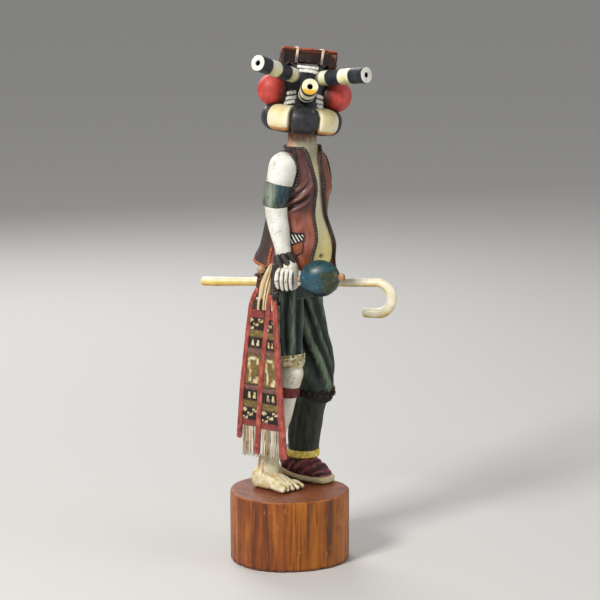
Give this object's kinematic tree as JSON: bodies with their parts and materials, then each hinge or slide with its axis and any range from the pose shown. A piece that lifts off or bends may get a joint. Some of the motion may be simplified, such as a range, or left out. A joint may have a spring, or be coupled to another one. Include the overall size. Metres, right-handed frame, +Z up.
{
  "type": "kachina doll",
  "caption": "Carved and painted wood doll with tube eyes and mouth, open vest, woven-pattern sash, cane and gourd rattle, standing on a slice of trunk.",
  "frame": {"origin": "centre of the wood block's underside, on the surface it stands on", "axes": "+Z up, -Y the way the figure's body faces, -X the figure's right side; the helmet is turned 51 degrees to the figure's right"},
  "size_m": [0.0944, 0.1413, 0.3334],
  "materials": {
    "block_wood": "satin reddish brown wood with upright grain",
    "painted_wood": "matte painted and lightly stained carved wood",
    "painted_tube": "black and cream painted turned wood",
    "red_pad": "matte red painted wood",
    "bark": "rough dark bark with cream ties",
    "cane_paint": "satin cream painted rod with ochre stain",
    "gourd_paint": "satin blue-green painted gourd"
  },
  "bodies": {
    "root": {"base": "block_wood", "figure": "painted_wood", "eye_tube_right": "painted_tube", "eye_tube_left": "painted_tube", "mouth_tube": "painted_tube", "ear_right": "red_pad", "ear_left": "red_pad", "bark_crown": "bark", "cane": "cane_paint", "rattle": "gourd_paint"}
  },
  "joints": []
}
